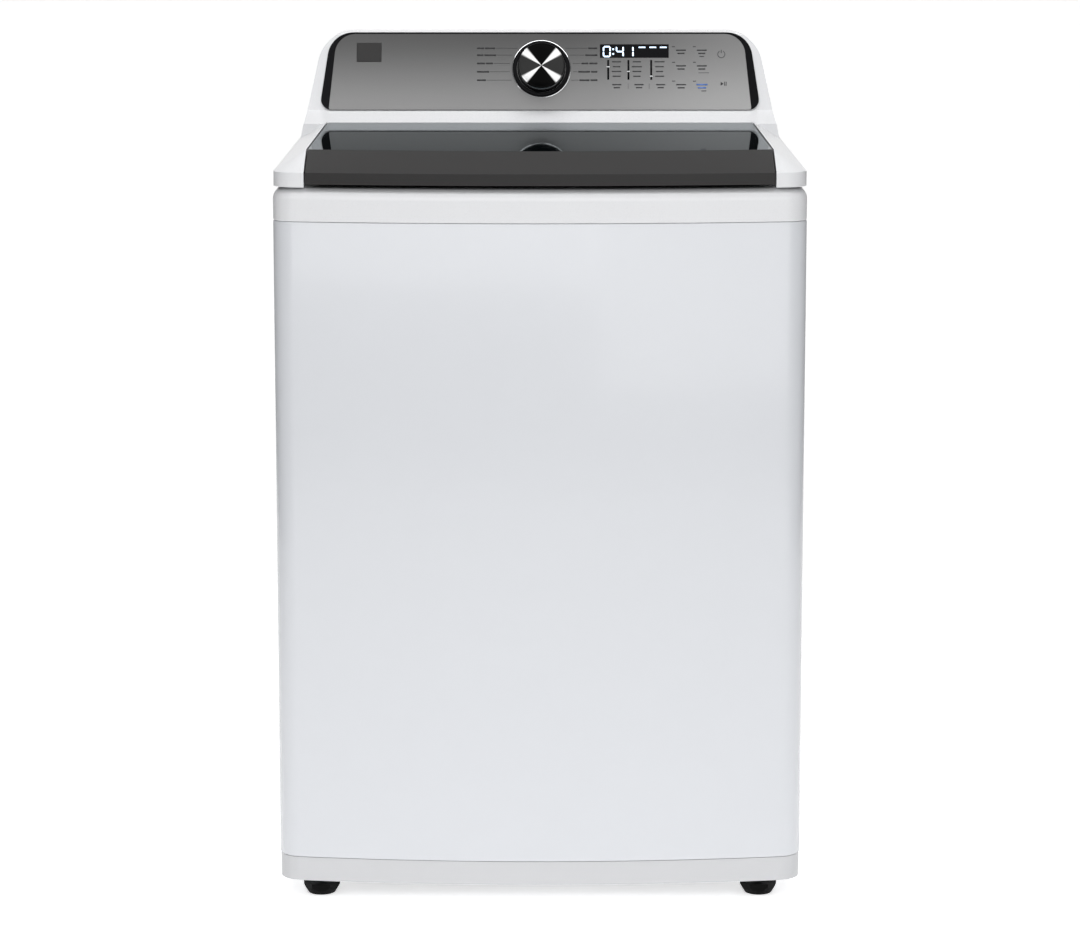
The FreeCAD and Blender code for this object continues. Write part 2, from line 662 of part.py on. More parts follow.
def lid_plan(sketch, gap):
    """The plan of the lid behind its trim, which ends at a bowed line."""
    bowed(sketch, "lid_half", "upper_front + " + gap, "upper_bow", "upper_corner", "lid_back")


def lid_fittings():
    """Hinge brackets with their pins, rest bumpers, and the lock under the cover."""
    brackets = []
    for plate_left, pin_left in (("-bay_half - 7.5", "-bay_half - 7.5"),
                                 ("bay_half + 3.5", "lid_half - 12")):
        plate = box(plate_left, "pivot_y - 12", "cover_high", 4, 24, "pivot_z + 4.5 - cover_high")
        brackets.append(fuse(plate, rod("pin", 21.5, pin_left, "pivot_y", "pivot_z", "x")))
    node(group(brackets), "hinge_brackets")
    bumpers = [rod(5, "rim_low - cover_high - seam", "%s * (lid_half - 5)" % sign, y, "cover_high")
               for sign in (-1, 1) for y in ("upper_front + 60", "lid_back - 60")]
    node(group(bumpers), "lid_bumpers")
    high = "cover_high - wall - seam - strike_low + 12"
    case = box("strike_x - 40", "strike_y - 22", "strike_low - 12", 62, 44, high)
    slot = box("strike_x - 6", "strike_y - 15", "strike_low - 3", 12, 30, 60)
    bore = rod("3 + fit", 36, "strike_x - 38", "strike_y", "strike_low + 9", "x")
    node(cut(case, slot, bore), "lid_lock")
    node(rod(3, 29, "strike_x - 37", "strike_y", "strike_low + 9", "x"), "lock_bolt")


# ---------------------------------------------------------------- water feed
def water_feed():
    """The twin inlet valve, its coils, its hose, and the dispenser with its drawer."""
    threads = []
    for step in (-30, 30):
        x = "valve_x + %d" % step
        neck = tube("thread", 8, 34, x, "back - 18.5", "valve_z - 12", "y")
        threads.append(neck)
        threads.append(rod(13, 26, x, "back - 66", "valve_z - 12", "y"))
    manifold = box("valve_x - 48", "back - 40", "valve_z - 30", 96, 21.5, 36)
    node(fuse(manifold, *threads), "inlet_valve")
    low = "drawer_low - wall"
    across = "drawer_right - drawer_left + 2 * wall - 1"
    outer = box("drawer_left - wall + 0.5", "drawer_front", low, across,
                "drawer_back - drawer_front + 8", "drawer_high + 1 - drawer_low + wall")
    roof = box("drawer_left - wall + 0.5", "bay_back + 4", "drawer_high + 1", across,
               "drawer_back - bay_back + 4", 14)
    hollow = box("drawer_left - 1", "drawer_front - 1", "drawer_low - 0.3",
                 "drawer_right - drawer_left + 2", "drawer_back - drawer_front + 3",
                 "drawer_high - drawer_low + 2")
    spray = box("drawer_left + 4", "bay_back + 8", "drawer_high + 4", "drawer_right - drawer_left - 8",
                "drawer_back - bay_back - 6", 8)
    inlet = tube(9, 6.5, 20, "drawer_left + 70", "drawer_back - 30", "drawer_high + 14")
    node(fuse(cut(outer, hollow), cut(roof, spray), inlet), "dispenser_housing")
    drawer = body("dispenser_drawer")
    plan = rectangle("drawer_left", "drawer_front", "drawer_right - drawer_left",
                     "drawer_back - drawer_front")
    pad(drawer, "XY", "drawer_low", "drawer_high - drawer_low", plan)
    for i in range(2):
        left = "drawer_left + 3 + %d * (drawer_right - drawer_left - 3) / 2" % i
        cup = rectangle(left, "drawer_front + 8", "(drawer_right - drawer_left - 9) / 2",
                        "drawer_back - drawer_front - 12")
        pocket(drawer, "XY", "drawer_low + 3", 60, cup)
    pocket(drawer, "XZ", "drawer_front - 1", 6, rectangle("(drawer_left + drawer_right) / 2 - 30",
                                                          "drawer_low + 8", 60, 10))
    start = Vector(value("drawer_left + 70"), value("drawer_back - 30"), value("drawer_high + 34"))
    end = Vector(value("valve_x"), value("back - 30"), value("valve_z + 6"))
    top = value("valve_z + 30")
    points = [start, Vector(start.x, start.y, top), Vector(end.x, end.y, top), end]
    feature("inlet_hose", hose(routed(points, 12), 9, 6.5))


def cord_gland():
    """The strain relief where the mains cord leaves the back."""
    collar = rod(13, 3, "cord_x", "back - steel - seam", "cord_z", "y")
    neck = rod(8.7, 16, "cord_x", "back - 14", "cord_z", "y")
    node(cut(fuse(collar, neck), rod(4.2, 30, "cord_x", "back - 16", "cord_z", "y")), "cord_gland")


# ---------------------------------------------------------------- suspension
def suspension():
    """Four rods hung from corner brackets; the tub's cups ride on springs at their feet."""
    rods, springs, brackets = [], [], []
    for sx in (-1, 1):
        for sy in (-1, 1):
            x, y = "%d * rod_x" % sx, "%d * rod_y" % sy
            bar = rod("rod", "rod_high - rod_low", x, y, "rod_low")
            seat = rod(22, 5, x, y, "seat_z - 5")
            ball = doc.addObject("Part::Sphere", "Ball")
            bind(ball, Radius="2 * rod")
            rods.append(fuse(bar, seat, place(ball, x, y, "rod_high + 6.75")))
            inner, reach = "rod_x - 27", "width / 2 - steel - rod_x + 27"
            left = inner if sx > 0 else "-(%s) - (%s)" % (inner, reach)
            shelf = box(left, y + " - 16", "rod_high - 6", reach, 32, 4)
            edge = "width / 2 - steel - 3" if sx > 0 else "steel - width / 2"
            upright = box(edge, y + " - 16", "rod_high - 6", 3, 32, 30)
            brackets.append(cut(fuse(shelf, upright), rod("rod + fit", 12, x, y, "rod_high - 8")))
            springs.append(coil(value(x), value(y)))
    node(group(rods), "suspension_rods")
    node(group(brackets), "suspension_brackets")
    feature("suspension_springs", Part.Compound(springs))


def coil(x, y):
    """One compression spring between a rod's seat and the tub's cup."""
    wire, mean = 2.0, 15.0
    low, high = value("seat_z") + wire + 0.05, value("cup_low") - wire - 0.05
    helix = Part.makeHelix((high - low) / 7, high - low, mean)
    start = Part.Wire(Part.makeCircle(wire, Vector(mean, 0, 0), Vector(0, 1, 0.14)))
    solid = Part.Wire(helix.Edges).makePipeShell([start], True, True)
    solid.translate(Vector(x, y, low))
    return solid


# ---------------------------------------------------------------- tub
def tub():
    """The outer tub with an ear at each rod, its ring, and what is bolted under its floor."""
    shell = body(None)
    spin(shell, [(0, "tub_low"), ("tub - 14", "tub_low", 0.5), ("tub + wall", "tub_low + 30", 20),
                 ("tub + wall", "tub_high"), ("tub", "tub_high"), ("tub", "tub_low + 33", 18),
                 ("tub - 17", "tub_low + 5", 0.5), (0, "tub_low + 5")])
    ears = []
    for sx in (-1, 1):
        for sy in (-1, 1):
            ears += [arm(sx, sy, 445, 44, "ear_z", 12), arm(sx, sy, 375, 6, "ear_z - 60", 62)]
    arms = cut(fuse(*ears), rod("tub + 1", 300, 0, 0, "tub_low"))
    holes = [rod("rod + fit", 60, "%d * rod_x" % sx, "%d * rod_y" % sy, "cup_low - 5")
             for sx in (-1, 1) for sy in (-1, 1)]
    mouth = rod(26, 20, 0, 0, "tub_low - 5")
    sump = rod(18, 20, "pump_x", "pump_y", "tub_low - 5")
    cups = [rod(20, "ear_z - cup_low", "%d * rod_x" % sx, "%d * rod_y" % sy, "cup_low")
            for sx in (-1, 1) for sy in (-1, 1)]
    node(cut(fuse(shell, arms, *cups), mouth, sump, *holes), "outer_tub")
    ring = body("tub_ring")
    spin(ring, [("ring_hole", "ring_high - 3"), ("tub", "ring_high - 3"), ("tub", "tub_high - 8"),
                ("tub - 3", "tub_high - 8"), ("tub - 3", "ring_high - 6"), ("ring_hole + 3", "ring_high - 6"),
                ("ring_hole + 3", "ring_high - 16"), ("ring_hole", "ring_high - 16")])


def arm(sx, sy, reach, wide, low, high):
    """A bar from the upright axis toward the rod in one corner."""
    turn = math.degrees(math.atan2(sy * value("rod_y"), sx * value("rod_x")))
    bar = bind(doc.addObject("Part::Box", "Arm"), Length=reach, Width=wide, Height=high)
    diagonal = "sqrt(rod_x * rod_x + rod_y * rod_y)"
    half = "%g * %s / %s" % (wide / 2, "rod_%s", diagonal)
    x, y = "%d * %s" % (sy, half % "y"), "%d * %s" % (-sx, half % "x")
    return place(bar, x, y, low, Rotation(Vector(0, 0, 1), turn))


def drive():
    """Bearings, seal, shafts, pulleys, belt, motor and clutch under the tub."""
    plate = body("bearing_housing")
    spin(plate, [("bearing - 5", "housing_low"), ("housing", "housing_low"),
                 ("housing", "tub_low - flange_plate"), (110, "tub_low - flange_plate"), (110, "tub_low"),
                 ("bearing", "tub_low"), ("bearing", "tub_low - bearing_high - 2"),
                 ("bearing - 5", "tub_low - bearing_high - 2"),
                 ("bearing - 5", "housing_low + bearing_high + 2"),
                 ("bearing", "housing_low + bearing_high + 2"), ("bearing", "housing_low + 1"),
                 ("bearing - 5", "housing_low + 1")])
    races = []
    for low in ("housing_low + 1.5", "tub_low - bearing_high - 1.5"):
        races.append(tube("bearing", "spin_tube + fit", "bearing_high - 1", 0, 0, low))
    node(group(races), "tub_bearings")
    node(tube(26, "spin_tube + fit", 10, 0, 0, "tub_low + seam"), "water_seal")
    bar = rod("spin_tube", "basket_low - 132", 0, 0, 140)
    clutch = rod(24, 8, 0, 0, "housing_low - 10")
    node(cut(fuse(bar, clutch), rod("drive_shaft + fit", 200, 0, 0, 120)), "spin_tube")
    node(rod("drive_shaft", "impeller_low + 26 - 96", 0, 0, 96), "drive_shaft")
    pulley = body("driven_pulley")
    wheel(pulley, "pulley", "groove", "drive_shaft")
    holes = pocket(pulley, "XY", "pulley_low - 1", 40, (70, 0, 20))
    around(pulley, holes, 6)
    nut = cut(hexagon(15, 10, 0, 0, "pulley_low - 10"), rod("drive_shaft + fit", 10, 0, 0, "pulley_low - 10"))
    head = rod(13, 6, 0, 0, "impeller_low + 34")
    plug = rod("drive_shaft", 8, 0, 0, "impeller_low + 26")
    node(group([nut, fuse(head, plug)]), "shaft_fasteners")
    rotor = body("motor_pulley")
    wheel(rotor, "motor_pulley", "motor_groove", 0)
    pad(rotor, "XY", "pulley_low + 2", "motor_low + 30 - pulley_low", (0, 0, 6))
    place(rotor, 0, "motor_y", 0)
    can = rod("motor", "tub_low - flange_plate - motor_low", 0, "motor_y", "motor_low")
    foot = box(-80, "motor_y - 85", "tub_low - flange_plate", 160, 160, "flange_plate")
    mount = cut(foot, rod(112, 20, 0, 0, "tub_low - 10"))
    node(cut(fuse(can, mount), rod("6 + fit", 40, 0, "motor_y", "motor_low - 5")), "drive_motor")
    feature("drive_belt", belt())
    actuator = box(46, -24, "tub_low - 66", 54, 48, 54)
    node(fuse(actuator, box("housing", -10, "tub_low - 40", 12, 20, 20)), "clutch_actuator")


def wheel(owner, rim, groove, bore):
    """A grooved pulley with a thin web."""
    low, high = "pulley_low", "pulley_low + pulley_high"
    spin(owner, [(bore, low), (rim, low), (rim, low + " + 4"), (groove, low + " + 6"),
                 (groove, high + " - 6"), (rim, high + " - 4"), (rim, high), (bore, high)])


def belt():
    """The loop round both pulleys: two arcs and their outer tangents, inside and outside."""
    far = value("motor_y")
    loops = []
    for thick in (0, 4):
        big = value("groove + washer_gap") + thick
        small = value("motor_groove + washer_gap") + thick
        lean = math.asin((big - small) / far)
        side = Vector(math.cos(lean), math.sin(lean), 0)
        other = Vector(-side.x, side.y, 0)
        centre = Vector(0, far, 0)
        edges = [Part.Arc(side * big, Vector(0, -big, 0), other * big).toShape(),
                 Part.LineSegment(other * big, centre + other * small).toShape(),
                 Part.Arc(centre + other * small, centre + Vector(0, small, 0),
                          centre + side * small).toShape(),
                 Part.LineSegment(centre + side * small, side * big).toShape()]
        loops.append(Part.Wire(edges))
    face = Part.Face(loops[1]).cut(Part.Face(loops[0]))
    solid = face.extrude(Vector(0, 0, value("pulley_high") - 13))
    solid.translate(Vector(0, 0, value("pulley_low") + 6.5))
    return solid


# ---------------------------------------------------------------- basket and impeller
def basket():
    """The perforated drum on its cast base, and the balance ring."""
    wall = body("basket_wall")
    spin(wall, [("basket", "basket_low + 8"), ("basket + 1", "basket_low + 8"),
                ("basket + 1", "basket_high"), ("basket", "basket_high")])
    holes = [(0, "basket_low + 90 + 100 * %d" % i, 4) for i in range(4)]
    rows = pocket(wall, "XZ", "-basket - 20", 40, *holes)
    around(wall, rows, 12)
    base = body("basket_base")
    spin(base, [("spin_tube", "tub_low + 16"), (40, "tub_low + 16"), (46, "basket_low - 8", 4),
                ("basket - 4", "basket_low", 4), ("basket + 1", "basket_low"),
                ("basket + 1", "basket_low + 8"),
                ("spin_tube", "basket_low + 8")])
    ring = body("balance_ring")
    spin(ring, [("balance_hole + 8", "balance_low"), ("basket", "balance_low"),
                ("basket", "basket_high"), ("basket + 1", "basket_high"), ("basket + 1", "balance_high", 6),
                ("balance_hole", "balance_high", 8), ("balance_hole", "balance_low + 20")])


def wash_impeller():
    """A dished plate with raised vanes."""
    plate = body("wash_impeller")
    low = "impeller_low"
    spin(plate, [("drive_shaft", low), ("impeller - 10", low + " + 10", 4), ("impeller", low + " + 22"),
                 ("impeller - 4", low + " + 22"), ("impeller - 12", low + " + 13", 4),
                 (60, low + " + 14", 20),
                 (34, low + " + 34", 10), ("drive_shaft", low + " + 34")])
    vane = pad(plate, "XY", low + " + 8", 24, [(44, -9, 4), ("impeller - 30", -5, 4),
                                               ("impeller - 30", 5, 4), (44, 9, 4)])
    around(plate, vane, 6)


# ---------------------------------------------------------------- drain
def drain():
    """The pump under the tub, its impeller, the sump hose, the drain hose and the rear outlet."""
    x, y = "pump_x", "pump_y"
    volute = rod("pump", "pump_high", x, y, "pump_low")
    motor = rod("pump_motor", 50, x, y, "pump_low - 50")
    nozzle = rod("hose - hose_wall", 30, "pump_x - 64", y, "pump_low + 16", "x")
    cavity = rod("pump - 4", "pump_high - 10", x, y, "pump_low + 5")
    inlet = rod(14, 20, x, y, "pump_low + 30")
    way = rod("hose - hose_wall - 2", 50, "pump_x - 70", y, "pump_low + 16", "x")
    shaft = rod("3 + fit", 30, x, y, "pump_low - 15")
    node(cut(fuse(volute, motor, nozzle), cavity, inlet, way, shaft), "drain_pump")
    rotor = body("pump_impeller")
    pad(rotor, "XY", "pump_low - 14", 24, (0, 0, 3))
    pad(rotor, "XY", "pump_low + 8", 3, (0, 0, 24))
    blade = pad(rotor, "XY", "pump_low + 8", 16, rectangle(3, -1.5, 20, 3))
    pad(rotor, "XY", "pump_low + 8", 16, (0, 0, 6))
    around(rotor, blade, 6)
    place(rotor, x, y, 0)
    node(tube(20, 16, "tub_low - pump_low - pump_high", x, y, "pump_low + pump_high"), "sump_hose")
    low, left = value("pump_low + 16"), -300
    start = Vector(value("pump_x - 64.3"), value(y), low)
    back = Vector(value("-drain_x"), value("back - 22"), value("drain_z"))
    points = [start, Vector(left, start.y, low), Vector(left, 185, low),
              Vector(back.x, 300, low + 60), Vector(back.x, 300, back.z), Vector(back.x, back.y, back.z)]
    feature("drain_hose", hose(routed(points, 20), value("hose"), value("hose - hose_wall")))
    spigot = tube("hose + 2", "hose - hose_wall", 36, "-drain_x", "back - 21.5", "drain_z", "y")
    collar = tube("hose + 9", "hose + 2", 3, "-drain_x", "back - steel - seam", "drain_z", "y")
    node(fuse(spigot, collar), "drain_outlet")


def level_sensor():
    """The sensor that reads the water level."""
    node(fuse(rod(24, 16, 20, "back - 26", 1000), rod(4, 14, 20, "back - 26", 986)), "pressure_sensor")


for build in (levelling_feet, base_frame, cabinet_wrap, rear_panel, cabinet_screws, top_cover,
              console_deck, console_front, console_electrics, selector, console_rear_cover, lid,
              lid_fittings, water_feed, cord_gland, suspension, tub, drive, basket, wash_impeller,
              drain, level_sensor):
    build()
    doc.recompute()

for thing in doc.Objects:
    if "Invalid" in thing.State or "Error" in thing.State:
        raise RuntimeError("%s (%s) failed" % (thing.Name, thing.Label))

os.makedirs("parts", exist_ok=True)
for thing in NODES:
    if thing.Shape.isNull() or not thing.Shape.isValid():
        raise RuntimeError(thing.Label + " has no valid shape")
    thing.Shape.exportStep("parts/%s.step" % thing.Label)
    print(thing.Label, len(thing.Shape.Solids), round(thing.Shape.Volume / 1000, 1))
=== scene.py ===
# %% [markdown]
# # A top load washing machine, dressed for the camera
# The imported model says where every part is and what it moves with. This lesson adds the looks:
# bent enamelled sheet, brushed and spun metal, tinted glass, a lit display, a perforated drum
# and soft studio light. Each cell makes one piece or one finish, and prints what it made.

# %% Load the frame
import json
import math

import bmesh
import bpy
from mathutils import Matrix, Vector


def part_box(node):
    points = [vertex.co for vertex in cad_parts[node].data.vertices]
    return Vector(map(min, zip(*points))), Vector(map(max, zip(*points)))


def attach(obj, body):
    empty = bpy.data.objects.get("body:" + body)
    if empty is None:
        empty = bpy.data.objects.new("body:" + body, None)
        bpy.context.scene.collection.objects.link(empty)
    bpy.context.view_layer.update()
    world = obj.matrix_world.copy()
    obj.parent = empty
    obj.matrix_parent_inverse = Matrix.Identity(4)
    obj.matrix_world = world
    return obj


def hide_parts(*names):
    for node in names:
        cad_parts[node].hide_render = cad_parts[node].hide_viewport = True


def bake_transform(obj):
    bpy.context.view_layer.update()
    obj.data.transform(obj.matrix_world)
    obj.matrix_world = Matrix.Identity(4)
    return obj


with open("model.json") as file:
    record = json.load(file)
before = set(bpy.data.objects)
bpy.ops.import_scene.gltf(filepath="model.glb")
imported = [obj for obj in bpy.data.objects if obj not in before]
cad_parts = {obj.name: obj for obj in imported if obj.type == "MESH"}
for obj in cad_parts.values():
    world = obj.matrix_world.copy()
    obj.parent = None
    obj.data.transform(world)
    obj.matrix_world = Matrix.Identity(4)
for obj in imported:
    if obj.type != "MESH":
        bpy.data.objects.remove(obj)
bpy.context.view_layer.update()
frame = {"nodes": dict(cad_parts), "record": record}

MM = 0.001
NODES = frame["nodes"]
BODY_OF = {node: body for body, nodes in frame["record"]["behaviour"]["bodies"].items()
           for node in nodes}

# %% [markdown]
# ## Tools for meshes
# Most sheet and moulded pieces are rows of points with quads between them, so one helper makes
# that skin. Edit-mode operators could shape them too, but a row can be worked out from a few
# sizes. Shading is smooth, with creases kept where two faces meet at a clear angle.


# %% Rows of points become a skin
def skin(shape, rows, around=True, ends=False):
    """Quads between rows of points; around joins each row's ends, and ends closes a tube."""
    grid = [[shape.verts.new(point) for point in row] for row in rows]
    for low, high in zip(grid, grid[1:]):
        for i in range(len(low) if around else len(low) - 1):
            j = (i + 1) % len(low)
            shape.faces.new((low[i], low[j], high[j], high[i]))
    if ends:
        shape.faces.new(grid[0])
        shape.faces.new(grid[-1])
    return grid


def mesh_of(name, build):
    """A mesh filled by a function that is given an empty bmesh."""
    shape = bmesh.new()
    build(shape)
    bmesh.ops.remove_doubles(shape, verts=shape.verts, dist=1e-6)
    bmesh.ops.recalc_face_normals(shape, faces=shape.faces)
    mesh = bpy.data.meshes.new(name)
    shape.to_mesh(mesh)
    shape.free()
    return mesh


def piece(name, mesh, body, material, stands_for=(), crease=35):
    """Links a mesh, gives it its finish and lets it ride on a body, if one is named."""
    made = bpy.data.objects.new(name, mesh)
    bpy.context.scene.collection.objects.link(made)
    mesh.materials.clear()
    mesh.materials.append(material)
    bpy.ops.object.select_all(action="DESELECT")
    bpy.context.view_layer.objects.active = made
    made.select_set(True)
    bpy.ops.object.shade_smooth_by_angle(angle=math.radians(crease))
    if body:
        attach(made, body)
    if stands_for:
        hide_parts(*stands_for)
    return made


# %% A solid with its edges rounded
EDGE_SEGMENTS, SHARP_FROM = 3, math.radians(28)


def softened(node, width, material):
    """A copy of a solid whose sharp edges are bevelled, which stands for it."""
    mesh = NODES[node].data.copy()
    shape = bmesh.new()
    shape.from_mesh(mesh)
    bmesh.ops.remove_doubles(shape, verts=shape.verts, dist=2e-5)
    bmesh.ops.dissolve_limit(shape, angle_limit=math.radians(0.5), verts=shape.verts,
                             edges=shape.edges)
    shape.to_mesh(mesh)
    shape.free()
    if "custom_normal" in mesh.attributes:
        mesh.attributes.remove(mesh.attributes["custom_normal"])
    made = piece(node + "_soft", mesh, BODY_OF[node], material, (node,), 40)
    bevel = made.modifiers.new("Rounded edges", "BEVEL")
    bevel.width = width * MM
    bevel.segments = EDGE_SEGMENTS
    bevel.limit_method = "ANGLE"
    bevel.angle_limit = SHARP_FROM
    bevel.harden_normals = True
    even = made.modifiers.new("Even shading", "WEIGHTED_NORMAL")
    even.keep_sharp = True
    return made


# %% [markdown]
# ## Finishes
# A real surface is never one flat value. One shader group gives every finish the same kinds of
# change: a colour that drifts slowly, a roughness that varies finely, and a fine relief. It is
# built once, and each material places it with its own values. Stretching the texture space
# turns the same noise into the lines of brushed metal.

# %% The shared surface group
SURFACE = bpy.data.node_groups.new("Worked surface", "ShaderNodeTree")
INPUTS = (("Tone", "NodeSocketColor"), ("Drift", "NodeSocketFloat"), ("Roughness", "NodeSocketFloat"),
          ("Grain", "NodeSocketFloat"), ("Stretch", "NodeSocketVector"))
OUTPUTS = (("Colour", "NodeSocketColor"), ("Roughness", "NodeSocketFloat"), ("Relief", "NodeSocketFloat"))
for direction, sockets in (("INPUT", INPUTS), ("OUTPUT", OUTPUTS)):
    for name, kind in sockets:
        SURFACE.interface.new_socket(name, in_out=direction, socket_type=kind)


def part(tree, kind, links=(), values=()):
    """Adds a shader node, links its inputs by name and sets the others."""
    made = tree.nodes.new("ShaderNode" + kind)
    for name, source in dict(links).items():
        tree.links.new(source, made.inputs[name])
    for name, value in dict(values).items():
        made.inputs[name].default_value = value
    return made


def maths(tree, operation, *terms):
    """A maths node whose terms are sockets or plain numbers."""
    made = tree.nodes.new("ShaderNodeMath")
    made.operation = operation
    for socket, term in zip(made.inputs, terms):
        if isinstance(term, (int, float)):
            socket.default_value = term
        else:
            tree.links.new(term, socket)
    return made.outputs[0]


# %% Inside the group
def surface_group(tree):
    given = tree.nodes.new("NodeGroupInput").outputs
    place = part(tree, "TexCoord").outputs["Object"]
    space = part(tree, "Mapping", {"Vector": place, "Scale": given["Stretch"]}).outputs["Vector"]
    slow = part(tree, "TexNoise", {"Vector": space, "Scale": maths(tree, "DIVIDE", given["Grain"], 40)},
                {"Detail": 3.0}).outputs["Fac"]
    fine = part(tree, "TexNoise", {"Vector": space, "Scale": given["Grain"]},
                {"Detail": 6.0}).outputs["Fac"]
    swing = maths(tree, "MULTIPLY", maths(tree, "SUBTRACT", slow, 0.5), given["Drift"])
    tone = part(tree, "VectorMath", {0: given["Tone"]})
    tone.operation = "SCALE"
    tree.links.new(maths(tree, "ADD", maths(tree, "MULTIPLY", swing, 2.0), 1.0), tone.inputs["Scale"])
    share = maths(tree, "ADD", maths(tree, "MULTIPLY", fine, 0.3), 0.85)
    result = tree.nodes.new("NodeGroupOutput").inputs
    tree.links.new(tone.outputs[0], result["Colour"])
    tree.links.new(maths(tree, "MULTIPLY", share, given["Roughness"]), result["Roughness"])
    tree.links.new(fine, result["Relief"])


surface_group(SURFACE)


# %% A finish from the group
def finish(name, colour, roughness, metallic=0.0, grain=400.0, bump=0.0, mottle=0.03, coat=0.0,
           stretch=(1, 1, 1), specular=0.5):
    """A material whose colour, roughness and relief come from the shared group."""
    made = bpy.data.materials.new(name)
    made.use_nodes = True
    tree = made.node_tree
    shader = tree.nodes["Principled BSDF"]
    for socket, value in (("Metallic", metallic), ("Coat Weight", coat), ("Coat Roughness", 0.08),
                          ("Specular IOR Level", specular)):
        shader.inputs[socket].default_value = value
    worked = tree.nodes.new("ShaderNodeGroup")
    worked.node_tree = SURFACE
    for socket, value in (("Tone", (*colour, 1)), ("Drift", mottle), ("Roughness", roughness),
                          ("Grain", grain), ("Stretch", stretch)):
        worked.inputs[socket].default_value = value
    tree.links.new(worked.outputs["Colour"], shader.inputs["Base Color"])
    tree.links.new(worked.outputs["Roughness"], shader.inputs["Roughness"])
    if bump:
        relief = part(tree, "Bump", {"Height": worked.outputs["Relief"]},
                      {"Strength": bump, "Distance": 0.2 * MM})
        tree.links.new(relief.outputs["Normal"], shader.inputs["Normal"])
    return made


# %% Finishes of the machine
ENAMEL = finish("white_enamel", (0.675, 0.69, 0.72), 0.24, grain=900, bump=0.03, mottle=0.006, coat=0.3)
MOULDING = finish("white_moulding", (0.745, 0.75, 0.765), 0.28, grain=1200, bump=0.03, mottle=0.006)
PLINTH = finish("white_plinth", (0.62, 0.625, 0.64), 0.32, grain=1200, bump=0.03, mottle=0.006)
TRIM = finish("dark_trim", (0.030, 0.029, 0.029), 0.30, grain=700, bump=0.02, mottle=0.04,
              stretch=(0.02, 1, 1), specular=0.2)
GLOSS = finish("black_gloss", (0.004, 0.004, 0.005), 0.24, grain=900, mottle=0.1, specular=0.06)
MATTE = finish("black_matte", (0.005, 0.005, 0.005), 0.55, grain=1500, bump=0.3, mottle=0.15,
               specular=0.06)
GREY = finish("grey_plastic", (0.42, 0.44, 0.47), 0.4, grain=1200, bump=0.12, mottle=0.04)
RUBBER = finish("rubber", (0.018, 0.018, 0.018), 0.7, grain=1800, bump=0.4, mottle=0.2)
ZINC = finish("zinc_steel", (0.56, 0.57, 0.58), 0.36, 1.0, grain=300, bump=0.12, mottle=0.12)
STAINLESS = finish("stainless", (0.60, 0.60, 0.60), 0.24, 1.0, grain=600, bump=0.06, mottle=0.05,
                   stretch=(1, 1, 0.05))
CAST = finish("cast_aluminium", (0.50, 0.51, 0.52), 0.45, 1.0, grain=700, bump=0.5, mottle=0.08)
CHROME = finish("chrome", (0.75, 0.76, 0.77), 0.10, 1.0, grain=800, mottle=0.02)
BOARD = finish("circuit_board", (0.02, 0.10, 0.05), 0.45, grain=700, bump=0.3, mottle=0.3)
PRINT = finish("grey_print", (0.055, 0.055, 0.057), 0.5, grain=2000, mottle=0.05, specular=0.2)
PRINT_BLUE = finish("blue_print", (0.10, 0.20, 0.55), 0.5, grain=2000, mottle=0.05)
PLATE = finish("brushed_plate", (0.20, 0.195, 0.19), 0.34, 0.9, grain=500, bump=0.10, mottle=0.10,
               stretch=(0.02, 1, 1))
print("finishes:", len(bpy.data.materials))


# %% [markdown]
# ## Tinted glass
# The lid is toughened glass with a dark blue-grey coating. It lets a little light through, so the
# drum shows faintly from above, and at a low angle it mirrors the console that stands behind it.
# The coating is a part-metal surface whose tint holds back its mirror at low angles.

# %% Glass
GLASS = finish("tinted_glass", (0.018, 0.031, 0.036), 0.03, 0.72, grain=300, mottle=0.04)
COATED = GLASS.node_tree.nodes["Principled BSDF"].inputs
COATED["Transmission Weight"].default_value = 0.6
COATED["Specular Tint"].default_value = (0.09, 0.15, 0.18, 1)


# %% [markdown]
# ## The console plate's painted sheen
# The brushed plate is darkest at its top and brightens toward its foot and its right end, as light falls on
# it. This painted sheen is put into the base colour as two ramps across the plate, so it stays at every
# angle.

# %% Painted sheen of the plate
def ramp(tree, value, start, end, top):
    """From 0 at start to top at end."""
    made = part(tree, "MapRange", {"Value": value}, {"From Min": start, "From Max": end, "To Max": top})
    made.interpolation_type = "SMOOTHSTEP"
    return made.outputs[0]


def paint_plate_sheen(material, dark, light):
    # Painted sheen: the base colour brightens toward the plate's foot and right end, standing in for light.
    tree = material.node_tree
    place = part(tree, "TexCoord").outputs["Object"]
    split = part(tree, "SeparateXYZ", {0: place})
    share = maths(tree, "ADD", ramp(tree, split.outputs["Z"], 1.125, 1.000, 0.55),
                  ramp(tree, split.outputs["X"], 0.02, 0.33, 0.45))
    blend = part(tree, "Mix")
    blend.data_type = "RGBA"
    blend.inputs[6].default_value = (*dark, 1)
    blend.inputs[7].default_value = (*light, 1)
    tree.links.new(share, blend.inputs[0])
    tree.links.new(blend.outputs[2], tree.nodes["Principled BSDF"].inputs["Base Color"])


paint_plate_sheen(PLATE, (0.070, 0.070, 0.070), (0.30, 0.30, 0.30))

# %% [markdown]
# ## Camera
# A long lens stands well in front and a little above the lid, and looks slightly down. The
# plain view transform keeps whites white and blacks black, where a filmic one greys them both.

# %% Camera
LENS = bpy.data.cameras.new("Camera")
LENS.lens = 113.53
LENS.shift_y = -0.08
LENS.clip_end = 60
EYE = bpy.data.objects.new("Camera", LENS)
EYE.location = (0, -4.694, 1.390)
EYE.rotation_euler = (math.radians(90 - 8.95), 0, 0)
bpy.context.scene.collection.objects.link(EYE)
bpy.context.scene.camera = EYE
bpy.context.scene.view_settings.view_transform = "Standard"


# %% [markdown]
# ## Studio
# Broad panels light the front evenly. The surroundings are bright ahead and above but dimmer at
# the sides, which darkens the rounded corners of the cabinet and draws its outline.

